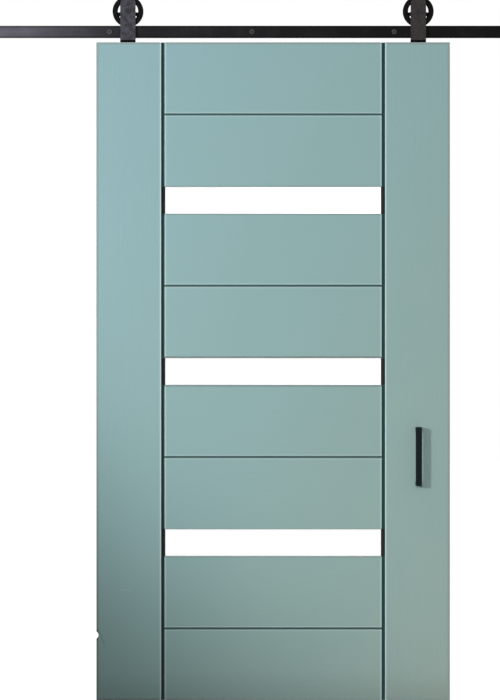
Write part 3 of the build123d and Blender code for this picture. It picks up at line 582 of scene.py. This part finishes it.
class Studio(PropertyGroup):
    """Floor, lamps and camera; places count from the middle of the leaf's face."""

    distance: FloatProperty(
        name="Camera distance", description="From the leaf's face to the camera", default=14.0, **LENGTH,
    )
    view_height: FloatProperty(
        name="Picture height", description="Height of the picture at the leaf's face",
        default=2.2694, **LENGTH,
    )
    floor_drop: FloatProperty(
        name="Floor gap", description="From the leaf's lower edge down to the floor",
        default=0.012, **LENGTH,
    )
    floor_dark: FloatVectorProperty(
        name="Floor, dark", description="Darker grain of the floor", default=(0.40, 0.36, 0.31), **COLOUR,
    )
    floor_light: FloatVectorProperty(
        name="Floor, light", description="Lighter grain of the floor", default=(0.44, 0.40, 0.35), **COLOUR,
    )
    floor_white: FloatProperty(
        name="Floor's white", description="Strength of the white that the camera sees on the floor",
        min=0, max=2, default=1.26,
    )
    floor_white_share: FloatProperty(
        name="Share of white", description="How much of that white covers the floor's own light and shadow",
        default=0.80, **FACTOR,
    )
    ambient: FloatProperty(
        name="Surroundings", description="Level of the even light from all round", min=0, max=2,
        default=0.36,
    )
    ambient_tint: FloatVectorProperty(
        name="Surroundings' tint", description="Colour of the even light", subtype="COLOR", min=0, max=2,
        default=(0.96, 1.0, 1.02),
    )
    aim: FloatVectorProperty(
        name="Aim", description="Where both front lamps point, past the upper right corner",
        default=(2.10, 0.0, 1.75), **PLACE,
    )
    lamp_radius: FloatProperty(
        name="Lamp radius", description="Radius of the front lamps, which softens shadows",
        default=0.25, **LENGTH,
    )
    key_place: FloatVectorProperty(
        name="Key lamp's place", description="Where the lamp at the left hangs",
        default=(-2.2, -3.35, 0.45), **PLACE,
    )
    key_power: FloatProperty(
        name="Key lamp", description="Power of the lamp at the left", default=325.0, **POWER,
    )
    key_beam: FloatProperty(
        name="Key beam", description="Full angle of the key lamp's cone",
        default=math.radians(89.3), **ANGLE,
    )
    key_blend: FloatProperty(
        name="Key rim", description="Share of the key lamp's cone over which it fades",
        default=0.49, **FACTOR,
    )
    wash_place: FloatVectorProperty(
        name="Wash lamp's place", description="Where the lamp in front hangs",
        default=(0.2, -6.0, 0.9), **PLACE,
    )
    wash_power: FloatProperty(
        name="Wash lamp", description="Power of the lamp in front", default=450.0, **POWER,
    )
    wash_beam: FloatProperty(
        name="Wash beam", description="Full angle of the wash lamp's cone",
        default=math.radians(72.3), **ANGLE,
    )
    wash_blend: FloatProperty(
        name="Wash rim", description="Share of the wash lamp's cone over which it fades",
        default=0.39, **FACTOR,
    )
    back_place: FloatVectorProperty(
        name="Back lamp's place", description="Where the lamp behind the door hangs",
        default=(1.8, 4.2, 1.6), **PLACE,
    )
    back_power: FloatProperty(
        name="Back lamp", description="Power of the lamp behind the door", default=130.0, **POWER,
    )
    back_size: FloatProperty(
        name="Back lamp's size", description="Diameter of the lamp behind the door", default=2.0, **LENGTH,
    )


def painted_wood(finish, colour, rough, height):
    """Satin paint over wood, from its colour, roughness and relief."""
    paint = bpy.context.scene.leaf_paint
    return finish.principled({
        "Base Color": colour,
        "Roughness": rough,
        "Normal": finish.bump(height, strength=0.70, distance=paint.relief),
        "IOR": 1.45,
        "Specular IOR Level": 0.32,
    })


def paint_body(finish, place, grain_scale):
    """Paint's colour with a painted tint of light, its colour in the reveals with painted shade, roughness
    and relief; the grain lies along one axis.
    """
    paint = bpy.context.scene.leaf_paint
    x, _, z = finish.axes(place)
    cloud = finish.noise(place, scale=2.6, detail=3.0, rough=0.55)
    fleck = finish.noise(place, scale=90.0, rough=0.6)
    grain = finish.noise(finish.stretch(place, grain_scale), detail=4.0, rough=0.62)
    stipple = finish.noise(place, scale=900.0, detail=1.0)
    rightward = (x - LEAF_LEFT) * (1 / LEAF_WIDTH)
    downward = (LEAF_TOP - z) * (1 / LEAF_HEIGHT)
    # Painted tint of light: the paint's colour turns from cool at the upper left to warm low on the right
    stops = [(0.0, rgba(paint.colour)), (0.5, rgba(paint.mid_light_paint)), (1.0, rgba(paint.warm_light_paint))]
    light_tinted_coat = finish.node("ShaderNodeValToRGB", {"stops": stops}, {0: (rightward + downward) * 0.5})
    tone = finish.rise(cloud, COAT_CLOUD) + fleck.swing(0.35) + grain.swing(0.30)
    colour = finish.mix(tone * (1 - COAT_COVER) + COAT_COVER, rgba(paint.tint), light_tinted_coat)
    # Floor dirt and painted shade, darker along the leaf's foot
    dirt_and_shade = finish.fall(z - LEAF_BOTTOM + fleck.swing(DIRT_AND_SHADE_WANDER), FLOOR_DIRT_AND_SHADE)
    colour = finish.mix(dirt_and_shade, colour, rgba(paint.dirt_and_shade))
    to_side = LEAF_WIDTH / 2 - abs(x - LEAF_X)
    to_edge = nearest((to_side, LEAF_TOP - z, z - LEAF_BOTTOM))
    primer = finish.fall(to_edge + fleck.swing(PRIMER_WANDER), PRIMER_RIM)
    # The primer rim turns dark towards the lower left corner: painted shade
    rim = finish.mix(finish.rise(downward - rightward, SHADED_RIM), rgba(paint.worn), rgba(paint.dirt_and_shade))
    colour = finish.mix(primer, colour, rim)
    # Painted shade in the reveals, deepest low down in the left reveal
    left_reveal_shade = finish.fall(x, LEFT_REVEAL) * (SHADE_AT_TOP + downward * (SHADE_AT_FOOT - SHADE_AT_TOP))
    reveal = finish.mix(left_reveal_shade, rgba(paint.reveal), rgba(paint.left_reveal_shade))
    rough = paint.gloss + cloud.swing(0.10) + stipple.swing(0.08)
    height = grain * 0.55 + stipple * 0.30
    return colour, reveal, rough, height


class BARNDOOR_OT_paint_boards(Operator):
    """Paint the crosswise boards, with painted shade in their joints, painted highlights on their eased
    edges, and sealant lines with painted shadow along the windows
    """

    bl_idname = "barndoor.paint_boards"
    bl_label = "Paint Boards"

    def execute(self, context):
        paint = context.scene.leaf_paint
        finish = new_finish("painted_boards")
        place = finish.place()
        x, _, z = finish.axes(place)
        colour, reveal, rough, height = paint_body(finish, place, BOARD_GRAIN)
        across = abs(x - LEAF_X)
        to_joint = nearest([abs(z - joint) for joint in JOINTS])
        # Painted highlights along the eased edges at the boards' ends and joints
        rubbed = finish.rise(across, BOARD_END_HIGHLIGHT) + finish.fall(to_joint, BOARD_EDGE_HIGHLIGHT)
        colour = finish.mix(rubbed, colour, rgba(paint.edge))
        colour = finish.mix(finish.fall(to_joint, JOINT_SHADE), colour, rgba(paint.reveal))
        # Sealant lines along the windows, which carry the painted shadow of the boards' edges too
        wander = finish.noise(place, scale=60.0).swing(WINDOW_LINE_WANDER)
        for edge, line in WINDOW_LINES:
            colour = finish.mix(finish.fall(abs(z - edge) + wander, line), colour, rgba(paint.sealant_and_shadow))
        # Painted shade in the joints and on the tongues in the reveals
        colour = finish.mix(finish.fall(to_joint, JOINT_FLOOR), colour, rgba(paint.reveal))
        colour = finish.mix(finish.rise(across, BOARD_TONGUE), colour, reveal)
        material = painted_wood(finish, colour, rough, height)
        dress(material, *[f"board_{n}" for n in range(1, 9)])
        return {"FINISHED"}


def break_edge(finish, place, wander, colour):
    """Bare wood in the broken spot, and darker paint round it."""
    paint = bpy.context.scene.leaf_paint
    x, y, z = finish.axes(place)
    from_left = x - LEAF_LEFT
    off_chip = abs(z - CHIP_Z)
    broken = finish.fall(from_left + wander, CHIP_SIDE) * finish.fall(off_chip + wander, CHIP_ENDS)
    inside = finish.fall(abs(y - TRACK_Y), CHIP_FACES)
    colour = finish.mix(broken * inside, colour, rgba(paint.bare))
    front = finish.rise(TRACK_Y - y, FRONT_HALF)
    darkened = finish.fall(from_left, DARK_SIDE) * finish.fall(off_chip, DARK_ENDS) * front
    return finish.mix(darkened, colour, rgba(paint.reveal))


def scratch_front(finish, place, wander, colour):
    """The hairline crack and the pale rub on the front of the left stile."""
    paint = bpy.context.scene.leaf_paint
    x, y, z = finish.axes(place)
    from_left = x - LEAF_LEFT
    from_floor = z - LEAF_BOTTOM
    front = finish.rise(TRACK_Y - y, FRONT_HALF)
    off_crack = abs(from_left - CRACK_X - (CRACK_HIGH - from_floor) * CRACK_LEAN) + wander
    along_crack = finish.rise(from_floor, CRACK_FOOT) * finish.fall(from_floor, CRACK_HEAD)
    crack = finish.fall(off_crack, CRACK_LINE) * along_crack * front
    # The crack, drawn in the same dark colour as the painted shade of the reveals
    colour = finish.mix(crack, colour, rgba(paint.reveal))
    off_rub = abs(from_floor - RUB_Z) + wander
    rub = finish.fall(off_rub, RUB_LINE) * finish.fall(abs(from_left - RUB_X), RUB_ENDS) * front
    return finish.mix(rub, colour, rgba(paint.edge))


class BARNDOOR_OT_paint_stiles(Operator):
    """Paint the stiles, with painted shade in their grooves, painted highlights on their inner edges, and
    bare wood where the left edge is broken
    """

    bl_idname = "barndoor.paint_stiles"
    bl_label = "Paint Stiles"

    def execute(self, context):
        paint = context.scene.leaf_paint
        finish = new_finish("painted_stiles")
        place = finish.place()
        x, y, _ = finish.axes(place)
        colour, reveal, rough, height = paint_body(finish, place, STILE_GRAIN)
        across = abs(x - LEAF_X)
        # Painted highlight along the stiles' eased inner edges
        colour = finish.mix(finish.fall(across, STILE_EDGE_HIGHLIGHT), colour, rgba(paint.edge))
        # Painted shade in the grooves of the stiles
        in_groove = finish.fall(abs(y - TRACK_Y), GROOVE_SIDES) * finish.fall(across, GROOVE_FLOOR)
        colour = finish.mix(in_groove, colour, reveal)
        ragged = finish.noise(place, scale=220.0, rough=0.6)
        colour = break_edge(finish, place, ragged * CHIP_WANDER, colour)
        colour = scratch_front(finish, place, ragged * SCRATCH_WANDER, colour)
        dress(painted_wood(finish, colour, rough, height), "stile_left", "stile_right")
        return {"FINISHED"}


class BARNDOOR_OT_finish_dowels(Operator):
    """Give the dowels their plain wood"""

    bl_idname = "barndoor.finish_dowels"
    bl_label = "Finish Dowels"

    def execute(self, context):
        paint = context.scene.leaf_paint
        finish = new_finish("plain_dowels")
        grain = finish.noise(finish.stretch(finish.place(), DOWEL_GRAIN), detail=3.0, rough=0.6)
        material = finish.principled({
            "Base Color": finish.mix(grain, rgba(paint.dowel_light), rgba(paint.dowel_dark)),
            "Roughness": 0.6 + grain * 0.1,
            "Normal": finish.bump(grain, strength=0.3, distance=0.0003),
        })
        dress(material, "dowels_left", "dowels_right")
        return {"FINISHED"}


def rubber_finish(name):
    """Matt black rubber with a fine bloom."""
    glazing = bpy.context.scene.glazing
    finish = new_finish(name)
    place = finish.place()
    bloom = finish.noise(place, scale=160.0, detail=3.0, rough=0.6)
    pores = finish.noise(place, scale=2200.0, detail=1.0)
    return finish.principled({
        "Base Color": finish.mix(bloom * 0.5, rgba(glazing.rubber), rgba(glazing.bloom)),
        "Roughness": 0.72 + bloom * 0.18,
        "Normal": finish.bump(pores, strength=0.3, distance=0.0002),
        "Specular IOR Level": 0.25,
    })


class BARNDOOR_OT_glaze(Operator):
    """Frost the glass strips and give their seals black rubber"""

    bl_idname = "barndoor.glaze"
    bl_label = "Glaze Strips"

    def execute(self, context):
        glazing = context.scene.glazing
        finish = new_finish("etched_glass")
        place = finish.place()
        etch = finish.noise(place, scale=1400.0, rough=0.6)
        haze = finish.noise(place, scale=7.0)
        material = finish.principled({
            "Base Color": rgba(glazing.glass),
            "Roughness": glazing.frost + haze.swing(0.08) + etch.swing(0.05),
            "Normal": finish.bump(etch, strength=0.15, distance=0.0002),
            "IOR": 1.5,
            "Transmission Weight": 1.0,
        })
        dress(material, "pane_1", "pane_2", "pane_3")
        dress(rubber_finish("seal_rubber"), "glazing_seal_1", "glazing_seal_2", "glazing_seal_3")
        return {"FINISHED"}


def steel_grit(finish, place):
    """Fine texture of powder-coated steel."""
    return finish.noise(place, scale=1500.0, rough=0.55)


def coated_steel(name, rubbed, rough, sheen, coat=None, with_dust_and_sheen=False):
    """Powder-coated steel: fine texture, cloudy sheen, some rubbed coat and, on the rail, dust with a
    painted sheen and painted shade on its rims.
    """
    steel = bpy.context.scene.black_steel
    finish = new_finish(name)
    place = finish.place()
    cloud = finish.noise(place, scale=14.0, detail=3.0, rough=0.6)
    grit = steel_grit(finish, place)
    worn = finish.rise(cloud + grit.swing(0.35), Band(RUBBED_FROM, RUBBED_FULL, rubbed))
    colour = finish.mix(worn, rgba(coat or steel.coat), rgba(steel.rubbed))
    if with_dust_and_sheen:
        colour = lay_dust_and_sheen(finish, place, cloud, colour)
    return finish.principled({
        "Base Color": colour,
        "Roughness": rough + grit.swing(0.16) - worn * 0.10,
        "Normal": finish.bump(grit, strength=0.25, distance=0.0002),
        "Specular IOR Level": sheen,
    })


def lay_dust_and_sheen(finish, place, cloud, colour):
    """Paint shade on the rail's rims and lay streaked dust with a painted sheen on it, thickest at the left.
    """
    steel = bpy.context.scene.black_steel
    x, _, z = finish.axes(place)
    # Painted shade on the rail's top and bottom rims
    rim = finish.rise(abs(z), RAIL_RIM)
    colour = finish.mix(rim * RAIL_RIM_SHADE, colour, BLACK)
    # Dust with a painted sheen, thickest towards the left
    streak = finish.noise(finish.stretch(place, DUST_AND_SHEEN_STREAKS), detail=3.0, rough=0.55)
    cover = DUST_AND_SHEEN_COVER + cloud.swing(0.5) + streak.swing(0.5)
    drift = finish.rise(x, DUST_AND_SHEEN_DRIFT) + finish.rise(x, DUST_AND_SHEEN_TRACE)
    return finish.mix(drift * (1 - rim * RAIL_RIM_SPARED) * cover, colour, rgba(steel.dust_and_sheen))


def strap_steel(name):
    """Coat of the strap hangers: blotched by handling, with dirt and painted shade in the fold above the
    leaf.
    """
    steel = bpy.context.scene.black_steel
    finish = new_finish(name)
    place = finish.place()
    x, y, z = finish.axes(place)
    blotch = finish.noise(place, scale=75.0, detail=3.0, rough=0.65)
    grit = steel_grit(finish, place)
    handled = finish.mix(finish.rise(x, LEAF_SIDES), rgba(steel.strap_cool), rgba(steel.strap_warm))
    worn = finish.rise(blotch + grit.swing(0.15), HANDLED_BLOTCH)
    colour = finish.mix(worn, rgba(steel.coat), handled)
    # Dirt and painted shade in the fold: black, with its reflection taken away through the metallic share
    fold_dirt_and_shade = finish.fall(z - LEAF_TOP, FOLD_HEIGHT) * finish.fall(y - STRAP_FRONT, FOLD_DEPTH)
    return finish.principled({
        "Base Color": finish.mix(fold_dirt_and_shade, colour, BLACK),
        "Metallic": fold_dirt_and_shade * 0.95,
        "Roughness": 0.45 + grit.swing(0.16) - worn * 0.08,
        "Normal": finish.bump(grit, strength=0.25, distance=0.0002),
        "Specular IOR Level": 0.32,
    })


def off_heads(x, z):
    """0 on the axis of a hexagon head, 1 and more where its darker middle ends."""
    squares = []
    for axis_x, axis_z, radius in HEAD_MIDDLES:
        across = (x - axis_x) * (1 / radius)
        upward = (z - axis_z) * (1 / radius)
        squares.append(across * across + upward * upward)
    return nearest(squares)


def oxide_steel(name):
    """Black-oxide fastener: thin dark skin, rubbed in clouds and towards the corners of the hexagon heads,
    whose middles stay darker.
    """
    steel = bpy.context.scene.black_steel
    finish = new_finish(name)
    place = finish.place()
    x, _, z = finish.axes(place)
    cloud = finish.noise(place, scale=60.0, detail=3.0, rough=0.6)
    grit = finish.noise(place, scale=1800.0)
    dark_middle = finish.fall(off_heads(x, z), HEAD_DARK_MIDDLE)
    rubbed = (OXIDE_RUBBED + finish.rise(cloud, OXIDE_CLOUD)) * (1 - dark_middle)
    return finish.principled({
        "Base Color": finish.mix(rubbed, rgba(steel.oxide), rgba(steel.oxide_rubbed)),
        "Metallic": 0.35 + rubbed * 0.35,
        "Roughness": 0.44 + grit.swing(0.15) - rubbed * 0.10,
        "Normal": finish.bump(grit, strength=0.18, distance=0.0001),
        "Specular IOR Level": 0.28,
    })


class BARNDOOR_OT_finish_track(Operator):
    """Coat the rail, its spacers and end stops, and give the stops' bumpers black rubber"""

    bl_idname = "barndoor.finish_track"
    bl_label = "Finish Track"

    def execute(self, context):
        rail = coated_steel("coated_rail", rubbed=0.20, rough=0.50, sheen=0.05, with_dust_and_sheen=True)
        dress(rail, "rail", "wall_spacers")
        stops = coated_steel("coated_stops", rubbed=0.25, rough=0.55, sheen=0.14)
        dress(stops, "end_stop_left", "end_stop_right")
        dress(rubber_finish("bumper_rubber"), "stop_bumper_left", "stop_bumper_right")
        return {"FINISHED"}


class BARNDOOR_OT_finish_hangers(Operator):
    """Coat the strap hangers and the rollers"""

    bl_idname = "barndoor.finish_hangers"
    bl_label = "Finish Hangers"

    def execute(self, context):
        dress(strap_steel("coated_straps"), "hanger_left", "hanger_right")
        coat = context.scene.black_steel.roller_coat
        rollers = coated_steel("coated_rollers", rubbed=0.10, rough=0.50, sheen=0.05, coat=coat)
        dress(rollers, "wheel_left", "wheel_right")
        return {"FINISHED"}


class BARNDOOR_OT_finish_bearings(Operator):
    """Give the bearing rings ground steel"""

    bl_idname = "barndoor.finish_bearings"
    bl_label = "Finish Bearings"

    def execute(self, context):
        steel = context.scene.black_steel
        finish = new_finish("ground_rings")
        place = finish.place()
        lines = finish.noise(finish.stretch(place, RING_LINES))
        film = finish.noise(place, scale=120.0, detail=3.0, rough=0.6)
        material = finish.principled({
            "Base Color": finish.mix(film * 0.5, rgba(steel.ring), rgba(steel.ring_film)),
            "Metallic": 1.0,
            "Roughness": 0.22 + lines * 0.14,
            "Normal": finish.bump(lines, strength=0.12, distance=0.0001),
        })
        rings = [f"bearing_{ring}_{side}" for ring in ("inner", "outer") for side in ("left", "right")]
        dress(material, *rings)
        return {"FINISHED"}


def wind_thread(form, x, steel):
    """One closed screw thread round a wall bolt's core, running out at both ends."""
    length = THREAD_END - THREAD_START
    steps = int(length / steel.thread_pitch * steel.thread_steps)
    rings = []
    for index in range(steps + 1):
        share = index / steps
        depth = THREAD_START + length * share
        turn = 2 * math.pi * index / steel.thread_steps
        full = min(1.0, share / THREAD_RUNOUT, (1 - share) / THREAD_RUNOUT)
        core = WALL_BOLT_CORE - max(0.0, depth - POINT_START) * POINT_TAPER
        crest = core + steel.thread_height * full
        half_foot = steel.thread_pitch * THREAD_HALF_FOOT * (THREAD_END_FOOT + (1 - THREAD_END_FOOT) * full)
        outward = Vector((math.cos(turn), 0, math.sin(turn)))
        foot = outward * (core - THREAD_SINK)
        aside = Vector((0, half_foot, 0))
        middle = Vector((x, depth, 0))
        corners = (foot - aside, outward * crest, foot + aside)
        rings.append([form.verts.new(middle + corner) for corner in corners])
    for near, far in zip(rings, rings[1:]):
        for a, b in ((0, 1), (1, 2), (2, 0)):
            form.faces.new((near[a], near[b], far[b], far[a]))
    form.faces.new(rings[0])
    form.faces.new(reversed(rings[-1]))


class BARNDOOR_OT_finish_fasteners(Operator):
    """Blacken the bolts, nuts and screws, and cut the wall bolts' threads"""

    bl_idname = "barndoor.finish_fasteners"
    bl_label = "Finish Fasteners"

    def execute(self, context):
        material = oxide_steel("oxide_fasteners")
        names = ["wall_bolts", "stop_screws", "pull_screws"]
        for side in ("left", "right"):
            names += [f"foot_screws_{side}", f"axle_bolt_{side}", f"axle_nut_{side}", f"axle_spacers_{side}"]
        dress(material, *names)
        form = bmesh.new()
        for x in WALL_BOLT_XS:
            wind_thread(form, x, context.scene.black_steel)
        bmesh.ops.recalc_face_normals(form, faces=form.faces)
        threads = add_mesh("wall_bolt_threads", form, material)
        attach(threads, "rail")
        return {"FINISHED"}


class BARNDOOR_OT_finish_pull(Operator):
    """Coat the bar pull, with a hand-rubbed sheen"""

    bl_idname = "barndoor.finish_pull"
    bl_label = "Finish Pull"

    def execute(self, context):
        coat = context.scene.black_steel.pull_coat
        dress(coated_steel("coated_pull", rubbed=0.10, rough=0.42, sheen=0.05, coat=coat), "pull_handle")
        return {"FINISHED"}


def seen_white(finish):
    """1 for rays that should meet the white surroundings: camera, glossy and transmitted ones."""
    path = finish.node("ShaderNodeLightPath", out="Is Camera Ray")
    rays = path + path.out("Is Glossy Ray") + path.out("Is Transmission Ray")
    return rays.at_most(1.0)


def set_world(studio):
    """Even light from all round, and plain white for what is seen, mirrored or seen through glass."""
    world = bpy.data.worlds.new("studio_world")
    bpy.context.scene.world = world
    finish = Finish(world, "ShaderNodeOutputWorld")
    light = {"Color": rgba(studio.ambient_tint), "Strength": studio.ambient}
    even = finish.node("ShaderNodeBackground", None, light)
    blank = finish.node("ShaderNodeBackground", None, {"Color": WHITE, "Strength": 1.0})
    finish.shade(finish.blend(seen_white(finish), even, blank))


def floor_finish(studio):
    """Pale floor that is white to the camera, keeps some shadow and is clear from below."""
    finish = new_finish("pale_floor")
    grain = finish.noise(finish.place(), scale=40.0, detail=3.0, rough=0.6)
    tone = finish.mix(grain, rgba(studio.floor_dark), rgba(studio.floor_light))
    pale = finish.node("ShaderNodeBsdfPrincipled", None, {"Base Color": tone, "Specular IOR Level": 0.0})
    bright = finish.node("ShaderNodeEmission", None, {"Color": WHITE, "Strength": studio.floor_white})
    lit = finish.blend(seen_white(finish) * studio.floor_white_share, pale, bright)
    clear = finish.node("ShaderNodeBsdfTransparent")
    below = finish.node("ShaderNodeNewGeometry", out="Backfacing")
    return finish.shade(finish.blend(below, lit, clear))


def set_floor(studio):
    """Lay the floor under the leaf."""
    z = LEAF_BOTTOM - studio.floor_drop
    form = bmesh.new()
    corners = [(-1, -1), (1, -1), (1, 1), (-1, 1)]
    form.faces.new([form.verts.new((FLOOR_HALF * x, FLOOR_HALF * y, z)) for x, y in corners])
    floor = add_mesh("studio_floor", form, floor_finish(studio))


def hang_lamp(lamp, place, target, power):
    """Place a lamp, aim it and set its power."""
    lamp.energy = power
    holder = bpy.data.objects.new(lamp.name, lamp)
    holder.location = LEAF_MIDDLE + place
    holder.rotation_euler = (target - place).to_track_quat("-Z", "Y").to_euler()
    bpy.context.scene.collection.objects.link(holder)
    return holder


def add_spot(name, studio, place, power, beam, blend):
    """Spot lamp whose beam fades out towards the rim of its cone."""
    lamp = bpy.data.lights.new(name, "SPOT")
    lamp.shadow_soft_size = studio.lamp_radius
    lamp.spot_size = beam
    lamp.spot_blend = blend
    return hang_lamp(lamp, place, studio.aim, power)


def set_lamps(studio):
    """Two spots in front, with the leaf's lower left corner at their beams' rim, and a soft lamp behind."""
    add_spot("key_lamp", studio, studio.key_place, studio.key_power, studio.key_beam, studio.key_blend)
    wash = add_spot(
        "wash_lamp", studio, studio.wash_place, studio.wash_power, studio.wash_beam, studio.wash_blend
    )
    wash.visible_glossy = False
    softbox = bpy.data.lights.new("back_lamp", "AREA")
    softbox.shape = "DISK"
    softbox.size = studio.back_size
    hang_lamp(softbox, studio.back_place, Vector(), studio.back_power)


def set_camera(studio):
    """Camera square to the leaf, framed as the photograph is."""
    lens = bpy.data.cameras.new("front_camera")
    lens.sensor_width = SENSOR_MILLIMETRES
    lens.lens = lens.sensor_width * studio.distance / studio.view_height
    lens.clip_end = CAMERA_REACH
    width, height = IMAGE_SIZE
    metres_a_pixel = studio.view_height / height
    x = LEAF_LEFT + (width / 2 - LEAF_LEFT_PIXEL) * metres_a_pixel
    z = LEAF_TOP - (height / 2 - LEAF_TOP_PIXEL) * metres_a_pixel
    camera = bpy.data.objects.new("front_camera", lens)
    camera.location = (x, LEAF_FRONT - studio.distance, z)
    camera.rotation_euler = (math.pi / 2, 0, 0)
    bpy.context.scene.collection.objects.link(camera)
    bpy.context.scene.camera = camera


class BARNDOOR_OT_set_studio(Operator):
    """Lay the floor and place the lamps and the camera"""

    bl_idname = "barndoor.set_studio"
    bl_label = "Set Studio"

    def execute(self, context):
        studio = context.scene.studio
        context.scene.view_settings.view_transform = "Standard"
        set_world(studio)
        set_floor(studio)
        set_lamps(studio)
        set_camera(studio)
        return {"FINISHED"}


class BARNDOOR_PT_sidebar(Panel):
    """Sizes, colours and steps of the barn door"""

    bl_label = "Barn Door"
    bl_idname = "BARNDOOR_PT_sidebar"
    bl_space_type = "VIEW_3D"
    bl_region_type = "UI"
    bl_category = "Barn Door"

    def draw(self, context):
        for group, name in GROUPS.items():
            box = self.layout.box()
            box.label(text=group.__doc__)
            settings = getattr(context.scene, name)
            for key in group.__annotations__:
                box.prop(settings, key)
        for step in STEPS:
            self.layout.operator(step.bl_idname)


GROUPS = {LeafPaint: "leaf_paint", Glazing: "glazing", BlackSteel: "black_steel", Studio: "studio"}
STEPS = (
    BARNDOOR_OT_paint_boards,
    BARNDOOR_OT_paint_stiles,
    BARNDOOR_OT_finish_dowels,
    BARNDOOR_OT_glaze,
    BARNDOOR_OT_finish_track,
    BARNDOOR_OT_finish_hangers,
    BARNDOOR_OT_finish_bearings,
    BARNDOOR_OT_finish_fasteners,
    BARNDOOR_OT_finish_pull,
    BARNDOOR_OT_set_studio,
)


def register():
    """Add the settings, the steps and the panel."""
    for group, name in GROUPS.items():
        bpy.utils.register_class(group)
        setattr(bpy.types.Scene, name, PointerProperty(type=group))
    for step in STEPS:
        bpy.utils.register_class(step)
    bpy.utils.register_class(BARNDOOR_PT_sidebar)


def unregister():
    """Take the panel, the steps and the settings out again."""
    bpy.utils.unregister_class(BARNDOOR_PT_sidebar)
    for step in reversed(STEPS):
        bpy.utils.unregister_class(step)
    for group, name in GROUPS.items():
        delattr(bpy.types.Scene, name)
        bpy.utils.unregister_class(group)


def main():
    """Run all the steps in order."""
    register()
    for step in STEPS:
        family, name = step.bl_idname.split(".")
        getattr(getattr(bpy.ops, family), name)()
    bpy.context.view_layer.update()


if __name__ == "__main__":
    main()
